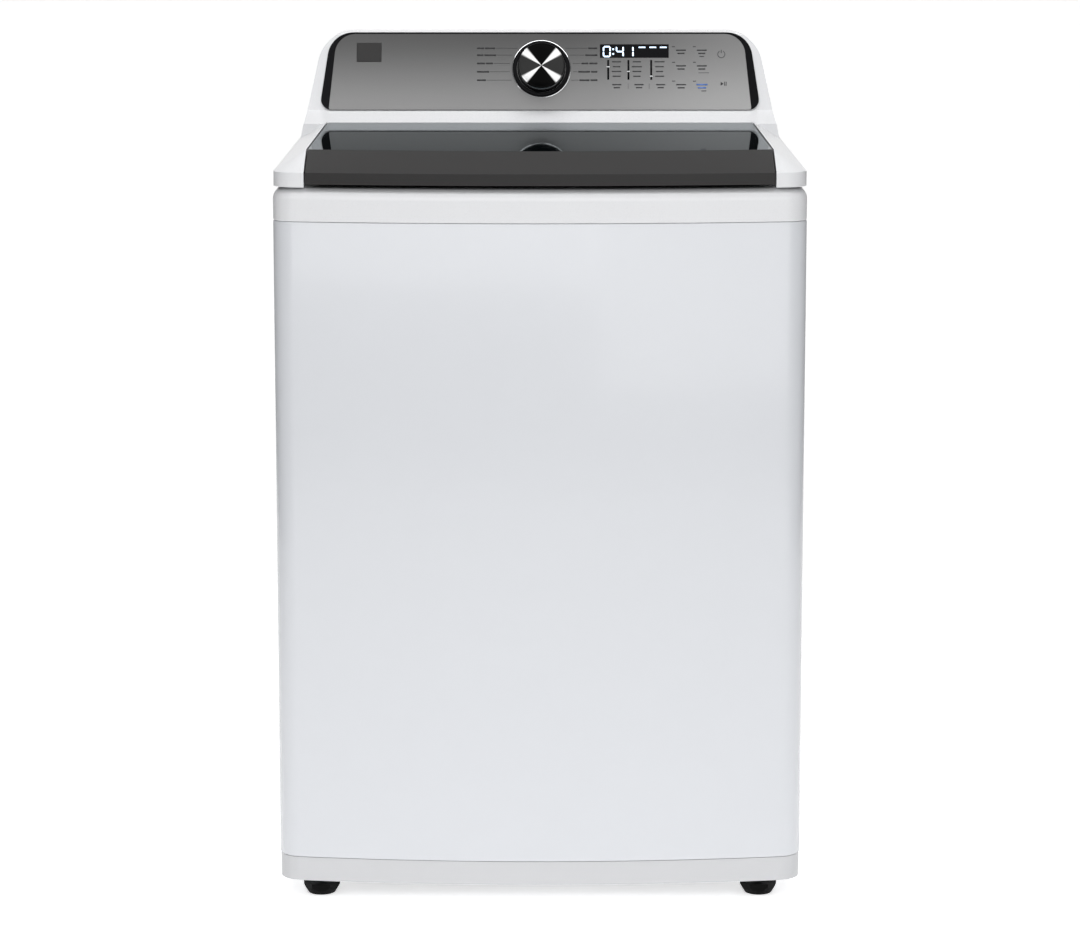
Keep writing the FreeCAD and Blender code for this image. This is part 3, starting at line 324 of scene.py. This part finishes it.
# %% Lamps
def panel(name, place, aim, size, power):
    light = bpy.data.lights.new(name, "AREA")
    light.shape = "RECTANGLE"
    light.size, light.size_y = size
    light.energy = power
    lamp = bpy.data.objects.new(name, light)
    lamp.location = place
    lamp.rotation_euler = (Vector(aim) - Vector(place)).to_track_quat("-Z", "Y").to_euler()
    bpy.context.scene.collection.objects.link(lamp)


panel("key", (-0.9, -4.6, 2.9), (0, 0, 0.7), (3.0, 2.4), 40)
panel("fill", (1.5, -4.2, 2.0), (0, 0, 0.6), (2.4, 2.4), 23)
panel("top", (0, -0.6, 3.2), (0, 0, 0.9), (3.0, 2.0), 52)


# %% Surroundings
def surroundings():
    world = bpy.data.worlds.new("Studio")
    world.use_nodes = True
    tree = world.node_tree
    split = part(tree, "SeparateXYZ", {0: part(tree, "TexCoord").outputs["Generated"]})
    fade = part(tree, "ValToRGB", {0: maths(tree, "ABSOLUTE", split.outputs["X"])})
    for stop, place, level in zip(fade.color_ramp.elements, (0.25, 0.65), (1, 0.04)):
        stop.position = place
        stop.color = (level, level, level, 1)
    tree.links.new(fade.outputs[0], tree.nodes["Background"].inputs["Color"])
    tree.nodes["Background"].inputs["Strength"].default_value = 0.52
    bpy.context.scene.world = world


surroundings()

# %% [markdown]
# ## Floor
# A pale sheet runs back and curves up behind the machine, so no horizon shows from the front. A
# flat plane would be simpler, but its far edge would draw a line across the background.


# %% Floor
def floor_rows():
    rows = [[Vector((x, -9, 0)) for x in (-2.6, 2.6)], [Vector((x, 4, 0)) for x in (-2.6, 2.6)]]
    for i in range(1, 13):
        a = math.pi / 2 * i / 12
        rows.append([Vector((x, 4 + 3 * math.sin(a), 3 - 3 * math.cos(a))) for x in (-2.6, 2.6)])
    rows.append([Vector((x, 7, 9)) for x in (-2.6, 2.6)])
    return rows


FLOOR = bpy.data.objects.new("floor", mesh_of("floor", lambda s: skin(s, floor_rows(), around=False)))
bpy.context.scene.collection.objects.link(FLOOR)
FLOOR.data.shade_smooth()
PALE = finish("pale_floor", (0.92, 0.92, 0.92), 0.7, grain=20, mottle=0.01)
PALE.node_tree.nodes["Principled BSDF"].inputs["Emission Color"].default_value = (1, 1, 1, 1)
PALE.node_tree.nodes["Principled BSDF"].inputs["Emission Strength"].default_value = 0.58
FLOOR.data.materials.append(PALE)

# %% [markdown]
# ## The cabinet
# One steel sheet is bent round the front and both sides. Its front is a very shallow bow, and
# the two corners are rounded. The plan is worked out from a few sizes, because a skin of many
# fine columns shades more evenly than any solid's own facets.

# %% Plan of the cabinet
WRAP_LOW, WRAP_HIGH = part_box("cabinet_wrap")
BOW, CORNER = 2237 * MM, 32 * MM


def cabinet_plan(inset, fine=72):
    """Right side from back to front, corner, bowed front, corner, and left side to the back."""
    half, front, back = WRAP_HIGH.x - inset, WRAP_LOW.y + inset, WRAP_HIGH.y - inset
    bow, corner = BOW - inset, CORNER - inset
    turn = half - corner
    drop = math.sqrt((bow - corner) ** 2 - turn ** 2)
    swing = math.atan2(turn, drop)
    middle = front + bow
    right = [Vector((half, back, 0)), Vector((half, back / 2, 0)), Vector((half, middle - drop, 0))]
    for i in range(1, 13):
        a = math.pi / 2 + (swing - math.pi / 2) * i / 12
        right.append(Vector((turn + corner * math.sin(a), middle - drop - corner * math.cos(a), 0)))
    angles = [swing * (1 - 2 * i / fine) for i in range(1, fine)]
    arc = [Vector((bow * math.sin(a), middle - bow * math.cos(a), 0)) for a in angles]
    return right + arc + [Vector((-p.x, p.y, 0)) for p in reversed(right)]


# %% Cabinet sheet
def cabinet_rows():
    """The sheet's outside, its rounded hems, its inside, and the flanges at the back."""
    low, high, hem, steel, flange = WRAP_LOW.z, WRAP_HIGH.z, 2.0 * MM, 1.2 * MM, 22 * MM
    outside = [(hem, low), (0.3 * hem, low + 0.3 * hem), (0, low + hem), (0, high - hem),
               (0.3 * hem, high - 0.3 * hem), (hem, high)]
    inside = [(hem + steel, high - 0.2 * hem), (steel, high - 2 * hem), (steel, low + 2 * hem),
              (hem + steel, low + 0.2 * hem), (hem, low)]
    rows = []
    for inset, z in outside + inside:
        plan = cabinet_plan(inset)
        ends = [Vector((sign * (WRAP_HIGH.x - flange), plan[0].y, 0)) for sign in (1, -1)]
        rows.append([Vector((p.x, p.y, z)) for p in [ends[0]] + plan + [ends[1]]])
    return rows


def cabinet_sheet(shape):
    grid = skin(shape, cabinet_rows(), around=False)
    for end in (0, -1):
        shape.faces.new([row[end] for row in grid[:-1]])


piece("cabinet_sheet", mesh_of("cabinet_sheet", cabinet_sheet), "cabinet", ENAMEL, ("cabinet_wrap",), 50)

# %% [markdown]
# ## Mouldings, castings and small metal parts
# These solids have the right shape already, but a real moulding has no razor edge. Modelling
# them afresh would only repeat the solid, and rounding in the material alone wouldn't be a
# shape, so each is
# copied, its edges are rounded by a size that suits it, and the copy gets the real finish.

# %% Rounded solids
SOFT = {
    MOULDING: {"console_deck": 2.0, "top_cover": 1.0},
    PLINTH: {"base_frame": 2.0},
    TRIM: {"lid_trim": 1.2, "badge": 0.3},
    GLASS: {"lid_glass": 0.8},
    GLOSS: {"console_bezel": 0.8, "display_window": 0.3, "selector_surround": 0.8},
    PLATE: {"console_faceplate": 0.4},
    MATTE: {"lid_frame": 0.6, "lid_strike": 0.8, "lid_lock": 1.0, "cord_gland": 0.6,
            "clutch_actuator": 1.0, "drain_pump": 1.0, "drain_outlet": 0.5, "pump_impeller": 0.3,
            "levelling_foot_fl": 0.8, "levelling_foot_fr": 0.8, "levelling_foot_bl": 0.8,
            "levelling_foot_br": 0.8},
    GREY: {"inlet_valve": 0.8, "dispenser_housing": 0.5, "dispenser_drawer": 0.6,
           "pressure_sensor": 0.8, "outer_tub": 0.8, "tub_ring": 0.5, "balance_ring": 2.0,
           "wash_impeller": 2.0},
    RUBBER: {"lid_bumpers": 0.5, "water_seal": 0.5, "sump_hose": 0.5, "drive_belt": 0.8},
    ZINC: {"rear_panel": 0.3, "cabinet_screws": 0.4, "console_rear_cover": 0.3,
           "hinge_brackets": 0.5, "suspension_rods": 0.5, "suspension_brackets": 0.5,
           "tub_bearings": 0.5, "drive_motor": 1.0, "spin_tube": 0.5, "drive_shaft": 0.5,
           "shaft_fasteners": 0.5, "motor_pulley": 0.4, "foot_lock_nuts": 0.4, "lock_bolt": 0.4},
    CAST: {"bearing_housing": 1.0, "basket_base": 1.0, "driven_pulley": 0.6},
    BOARD: {"display_board": 0.2},
}
for material, widths in SOFT.items():
    for node, width in widths.items():
        softened(node, width, material)
softened("control_board", 0.8, MATTE)
print("rounded solids:", sum(len(widths) for widths in SOFT.values()) + 1)

# %% [markdown]
# ## Marks on the console
# The printing on the plate is thin ink. Text objects would bring in real words, so it is made of
# flat shapes: short dashes for the programme names, leader lines from
# the dial, keys with ticks, and the usual signs for power and start. A helper places a mark by
# its distance across and up the leaning plate, and all marks of one ink are one mesh.

# %% A point on the leaning plate
RECLINE = math.radians(17)
PLATE_OUT, WINDOW_OUT = 1.86, 2.08


def on_face(x, up, out):
    """A point from millimetres across the plate, up it and out of it."""
    c, s = math.cos(RECLINE), math.sin(RECLINE)
    return Vector((x, 170 + up * s - out * c, 1010 + up * c + out * s)) * MM


def inked(name, shapes, material, out=PLATE_OUT):
    """Flat marks on the plate, each a list of corners as (across, up)."""
    def build(shape):
        for corners in shapes:
            shape.faces.new([shape.verts.new(on_face(x, up, out)) for x, up in corners])
    made = piece(name, mesh_of(name, build), "cabinet", material)
    film = made.modifiers.new("Film of ink", "SOLIDIFY")
    film.thickness = 0.03 * MM
    film.offset = 0
    return made


def dash(x, up, wide, high):
    """The corners of an upright bar centred at x and up."""
    return [(x - wide / 2, up - high / 2), (x + wide / 2, up - high / 2),
            (x + wide / 2, up + high / 2), (x - wide / 2, up + high / 2)]


# %% Programme marks and leader lines
DIAL = (2.0, 59.5)
ROWS = (90.0, 79.9, 67.8, 55.6, 43.3)
WORDS = ((13, 19), (12, 22), (15, 13), (23,), (17,))


def programme_marks():
    """Broken dashes for the names, and a level line from each name to the dial's ring."""
    marks = []
    for side, outer in ((-1, 90), (1, 82)):
        for up, words in zip(ROWS, WORDS if side < 0 else WORDS[::-1]):
            ring = math.sqrt(max(45 ** 2 - (up - DIAL[1]) ** 2, 0)) + 0.5 + side * DIAL[0]
            x = outer
            for word in words:
                word *= 0.75
                marks.append(dash(side * (x - word / 2), up, word, 2.4))
                x -= word + 1.6
            marks.append(dash(side * (x + ring) / 2, up, abs(x - ring), 0.6))
    return marks


def key_marks():
    """Four short dashes beside each key bar, and two-line names under and beside the keys."""
    marks = []
    for x, name in ((97.5, 109.8), (126.5, 141.5), (159, 172.4)):
        marks += [dash(x + 12, up, 10 + (x + up) % 5, 1.7) for up in (70.2, 63, 56, 49)]
        marks += [dash(name, 36.7, 13, 1.9), dash(name, 32.4, 9, 1.9)]
    for x in (126, 156):
        marks.append(dash(x, 34.5, 0.5, 8))
    for x in (201.7, 231.5):
        for up in (87.1, 64.2, 36.7):
            blue = (x, up) == (231.5, 36.7)
            marks += [] if blue else [dash(x, up, 14, 1.9), dash(x, up - 4.6, 10, 1.9)]
            marks.append(dash(x - 10.7, up + 5.2, 4.4, 1.2))
    marks += [dash(231.5, 78, 7, 1.2), dash(234, 54, 15, 0.7), dash(234, 27.5, 7, 1.2)]
    return marks


def signs():
    """A ring with a gap and a bar for power; a triangle and two bars for start and pause."""
    marks = [dash(259.4, 85.2, 1.0, 5)]
    for i in range(20):
        a, b = [math.radians(120 + 300 * (i + step) / 20) for step in (0, 1)]
        marks.append([(259.4 + r * math.cos(t), 81.2 + r * math.sin(t))
                      for t, r in ((a, 4.6), (b, 4.6), (b, 5.6), (a, 5.6))])
    marks.append([(258.2, 35.2), (262.4, 38.1), (258.2, 41)])
    marks += [dash(263.8, 38.1, 1.1, 6), dash(266.0, 38.1, 1.1, 6)]
    return marks


inked("printed_marks", programme_marks() + key_marks() + signs(), PRINT)
inked("blue_mark", [dash(231.5, 36.7, 16, 2.2), dash(231.5, 32.1, 12, 2.2)], PRINT_BLUE)
inked("key_bars", [dash(x, 58.4, 2.8, 29) for x in (97.5, 126.5, 159)], GLOSS)
inked("key_ticks", [dash(x, up, 4.2, 1.6) for x, up in ((97.5, 62.8), (126.5, 55.9), (159, 49))],
      finish("white_ink", (0.85, 0.87, 0.88), 0.4, grain=2000, mottle=0.02), PLATE_OUT + 0.06)

# %% [markdown]
# ## Display
# The time is shown by glowing segments behind dark glass. A font's figures would be solid
# strokes without gaps. Here each segment is a slim six-sided bar
# with pointed ends, and the digits are a table of which of the seven segments are lit.

# %% Glowing segments
GLOW = finish("display_glow", (0.7, 0.85, 1.0), 0.4, grain=2000, mottle=0.05)
GLOW.node_tree.nodes["Principled BSDF"].inputs["Emission Color"].default_value = (0.62, 0.80, 1.0, 1)
GLOW.node_tree.nodes["Principled BSDF"].inputs["Emission Strength"].default_value = 1.6
LIT = {"0": "abcdef", "4": "bcfg", "1": "bc"}
SEGMENTS = {"a": (0, 1, 0), "b": (0.5, 0.5, 1), "c": (0.5, -0.5, 1), "d": (0, -1, 0),
            "e": (-0.5, -0.5, 1), "f": (-0.5, 0.5, 1), "g": (0, 0, 0)}


def digit(figure, x, up, wide=9.4, high=14.4, thick=2.1):
    shapes = []
    for name in LIT[figure]:
        across, rise, upright = SEGMENTS[name]
        cx, cy = x + across * wide, up + rise * high / 2
        reach = (high / 2 if upright else wide) / 2 - 0.2
        bar = [(-reach, 0), (-reach + thick / 2, -thick / 2), (reach - thick / 2, -thick / 2),
               (reach, 0), (reach - thick / 2, thick / 2), (-reach + thick / 2, thick / 2)]
        shapes.append([(cx - b, cy + a) if upright else (cx + a, cy + b) for a, b in bar])
    return shapes


SHOWN = digit("0", 95.6, 85.0) + digit("4", 114.2, 85.0) + digit("1", 128.3, 85.0)
SHOWN += [dash(104.8, 81.6, 2.2, 2.4), dash(104.8, 88.4, 2.2, 2.4)]
SHOWN += [dash(x, 91.2, 9.6, 1.8) for x in (146, 161.4, 176.4)]
inked("display_digits", SHOWN, GLOW, WINDOW_OUT)

# %% [markdown]
# ## The dial
# The knob is a turned part: a plated skirt with a bright cap whose face is spun, so its fine
# rings throw light into wedges; those wedges are also painted into the cap's colour as a painted
# reflection. The spin operator would turn it too, but rows of points are also placed on the
# leaning face at once. Its tangent must run round the axis, which a round map gives.


# %% Turning on the console face
def turned(name, profile, body, material, stands_for=()):
    """Turns (radius, out) pairs about the dial's axis."""
    steps = 128

    def build(shape):
        rows = []
        for radius, out in profile:
            rows.append([on_face(DIAL[0] + radius * math.cos(math.tau * i / steps),
                                 DIAL[1] + radius * math.sin(math.tau * i / steps), out)
                         for i in range(steps)])
        skin(shape, rows)
    return piece(name, mesh_of(name, build), body, material, stands_for)


# %% Skirt and cap
turned("dial_skirt", [(32.0, 3.2), (34.0, 3.0), (34.5, 3.6), (34.2, 12), (33.6, 20.5), (33.2, 22.2),
                      (32.4, 22.9), (31.0, 23.0), (30.6, 22.0), (20, 22.0), (20, 6), (32.0, 3.2)],
       "selector", CHROME, ("selector_skirt",))
SPUN = finish("spun_metal", (0.70, 0.71, 0.72), 0.30, 1.0, grain=800, mottle=0.03)
CAP = turned("dial_cap", [(0, 25.6), (8, 25.6), (16, 25.6), (24, 25.65), (30.5, 25.75), (31.6, 25.9),
                          (32.6, 25.5), (33.0, 24.6), (33.0, 23.2), (31.2, 23.05), (0, 23.05)],
             "selector", SPUN, ("selector_cap",))


# %% Painted bright wedges of the spun face
def paint_wedge_glints(tree):
    """Painted reflection: colour by the angle round the dial gives four light sectors, black above and below
    them.
    """
    where = tree.nodes.new("ShaderNodeUVMap")
    where.uv_map = "Round"
    split = part(tree, "SeparateXYZ", {0: where.outputs[0]})
    turn = maths(tree, "MULTIPLY", split.outputs[0], math.tau)
    level = maths(tree, "ABSOLUTE", maths(tree, "COSINE", turn))
    painted_glint = maths(tree, "SUBTRACT", ramp(tree, level, 0.60, 0.68, 0.62),
                   ramp(tree, level, 0.84, 0.90, 0.60))
    painted_glint_tone = maths(tree, "ADD", maths(tree, "MAXIMUM", painted_glint, 0.0), 0.004)
    tone = part(tree, "CombineColor", {name: painted_glint_tone for name in ("Red", "Green", "Blue")})
    tree.links.new(tone.outputs[0], tree.nodes["Principled BSDF"].inputs["Base Color"])


# %% Round map and anisotropic sheen
def round_map(made):
    """A map whose first direction runs round the dial, for the tangent of spun metal."""
    mesh = made.data
    layer = mesh.uv_layers.new(name="Round")
    middle, across = on_face(*DIAL, 25), Vector((1, 0, 0))
    rise = (on_face(DIAL[0], DIAL[1] + 10, 25) - middle).normalized()
    for face in mesh.polygons:
        arms = [(loop, mesh.vertices[mesh.loops[loop].vertex_index].co - middle)
                for loop in face.loop_indices]
        arms = [(loop, arm.dot(across), arm.dot(rise)) for loop, arm in arms]
        rim = [math.atan2(y, x) / math.tau for loop, x, y in arms if math.hypot(x, y) > 0.1 * MM]
        for loop, x, y in arms:
            turn = math.atan2(y, x) / math.tau + round(rim[0] - math.atan2(y, x) / math.tau)
            if math.hypot(x, y) <= 0.1 * MM:
                turn = rim[0] + sum(r + round(rim[0] - r) - rim[0] for r in rim) / len(rim)
            layer.data[loop].uv = (turn, math.hypot(x, y) * 20)
    tree = SPUN.node_tree
    # The cap's colour carries a painted reflection; the anisotropic sheen set below is real light.
    paint_wedge_glints(tree)
    tangent = tree.nodes.new("ShaderNodeTangent")
    tangent.direction_type = "UV_MAP"
    tangent.uv_map = "Round"
    surface = tree.nodes["Principled BSDF"]
    surface.inputs["Anisotropic"].default_value = 0.85
    tree.links.new(tangent.outputs[0], surface.inputs["Tangent"])


round_map(CAP)
print("dial cap faces:", len(CAP.data.polygons))
turned("dial_rim", [(40.7, 1.6), (40.8, 2.3), (41.3, 2.6), (42.0, 2.4), (42.4, 1.6), (40.7, 1.6)],
       "cabinet", CHROME)

# %% [markdown]
# ## The drum
# The basket is a perforated stainless drum. Holes could be cut with booleans, but thousands of
# cuts are slow and leave poor faces. A cell with one round hole is made from a ring of
# quads inside a square, and the cells are bent round the drum in rows.


# %% Perforated drum
def drum(shape):
    low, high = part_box("basket_wall")
    radius, rows, around, corners = high.x - 0.5 * MM, 30, 88, 12
    tall, wide = (high.z - low.z) / rows, math.tau / around
    for row in range(rows):
        for column in range(around):
            open_cell = 0 < row < rows - 1 and column % 11
            cx, cz = wide * (column + 0.5 * (row % 2)), low.z + tall * (row + 0.5)
            rings = []
            for size in (1.0, 0.0):
                ring = []
                for i in range(corners):
                    a = math.tau * (i + 0.5) / corners
                    square = 0.5 / max(abs(math.cos(a)), abs(math.sin(a)))
                    reach = square if size else 0.16
                    angle, z = cx + wide * reach * math.cos(a), cz + tall * reach * math.sin(a)
                    ring.append(shape.verts.new((radius * math.cos(angle), radius * math.sin(angle), z)))
                rings.append(ring)
            for i in range(corners):
                j = (i + 1) % corners
                shape.faces.new((rings[0][i], rings[0][j], rings[1][j], rings[1][i]))
            if not open_cell:
                shape.faces.new(rings[1])


DRUM = piece("drum_sheet", mesh_of("drum_sheet", drum), "basket", STAINLESS, ("basket_wall",), 60)
SHEET = DRUM.modifiers.new("Sheet", "SOLIDIFY")
SHEET.thickness = 0.8 * MM
SHEET.offset = 0
print("drum faces:", len(DRUM.data.polygons))

# %% [markdown]
# ## Springs
# Four compression springs carry the tub. A screw modifier could make them, but the wire's rings
# are set directly so that one mesh holds all four. Each is a helix swept by a wire between the
# rods' seats; the mesh rides on no body and is baked in place.

# %% Springs
SPRING_LOW, SPRING_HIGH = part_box("suspension_springs")
ROD_X, ROD_Y = SPRING_HIGH.x - 17 * MM, SPRING_HIGH.y - 17 * MM


def springs(shape):
    wire, mean, turns, steps, sides = 2.0 * MM, 15 * MM, 7, 168, 10
    low, high = SPRING_LOW.z + wire, SPRING_HIGH.z - wire
    for x in (-ROD_X, ROD_X):
        for y in (-ROD_Y, ROD_Y):
            rows = []
            for k in range(steps + 1):
                a, z = math.tau * turns * k / steps, low + (high - low) * k / steps
                out = Vector((math.cos(a), math.sin(a), 0))
                centre = Vector((x, y, z)) + out * mean
                rows.append([centre + out * wire * math.cos(math.tau * i / sides)
                             + Vector((0, 0, wire * math.sin(math.tau * i / sides)))
                             for i in range(sides)])
            skin(shape, rows, ends=True)


print("springs are", round((SPRING_HIGH.z - SPRING_LOW.z) * 1000), "mm long")
SPRINGS = piece("springs", mesh_of("springs", springs), None, ZINC, ("suspension_springs",), 60)
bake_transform(SPRINGS)

# %% [markdown]
# ## Drain hose
# The hose from the pump is corrugated so that it can flex. A plain bevelled curve would be
# smooth, so it isn't used for the surface. Its route is one smooth spline, and
# rings of changing radius are set along points read from that spline.


# %% Route of the drain hose
def spline_points(points):
    """Points along a smooth spline through the route, read back from an unbevelled curve."""
    curve = bpy.data.curves.new("route", "CURVE")
    curve.dimensions = "3D"
    line = curve.splines.new("NURBS")
    line.points.add(len(points) - 1)
    for target, given in zip(line.points, points):
        target.co = (*[c * MM for c in given], 1)
    line.order_u = 3
    line.use_endpoint_u = True
    line.resolution_u = 24
    route = bpy.data.objects.new("route", curve)
    bpy.context.scene.collection.objects.link(route)
    mesh = bpy.data.meshes.new_from_object(route)
    found = [v.co.copy() for v in mesh.vertices]
    bpy.data.objects.remove(route)
    return found


def even(points, step):
    """The same line as points a fixed step apart."""
    spread, left = [points[0]], step
    for a, b in zip(points, points[1:]):
        run, gone = (b - a).length, 0.0
        while run - gone >= left:
            gone += left
            spread.append(a.lerp(b, gone / run))
            left = step
        left -= run - gone
    return spread


# %% Corrugated tube
def corrugated(shape, points, outer, inner, sides=20):
    rows, side = [], Vector((0, 0, 1))
    for i, point in enumerate(points):
        ahead = (points[min(i + 1, len(points) - 1)] - points[max(i - 1, 0)]).normalized()
        side = (side - ahead * side.dot(ahead)).normalized()
        other = ahead.cross(side)
        radius = inner + (outer - inner) * (0.5 + 0.5 * math.cos(math.pi * i / 2))
        rows.append([point + (side * math.cos(math.tau * k / sides) + other * math.sin(math.tau * k / sides))
                     * radius for k in range(sides)])
    skin(shape, rows, ends=True)


ROUTE = even(spline_points([(-214.3, -150, 166), (-262, -150, 166), (-298, -150, 166), (-300, -110, 166),
                            (-300, 20, 166), (-300, 185, 166), (-262, 245, 190), (-225, 300, 226),
                            (-225, 300, 330), (-225, 300, 560), (-225, 300, 690), (-225, 302, 718),
                            (-225, 315, 720), (-225, 330, 720)]), 1.6 * MM)
RIBS = mesh_of("drain_hose_ribbed", lambda s: corrugated(s, ROUTE, 14 * MM, 12.2 * MM))
HOSE = piece("drain_hose_ribbed", RIBS, None, GREY, ("drain_hose",), 80)
print("hose rings:", len(ROUTE))
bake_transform(HOSE)
softened("inlet_hose", 0.2, RUBBER)
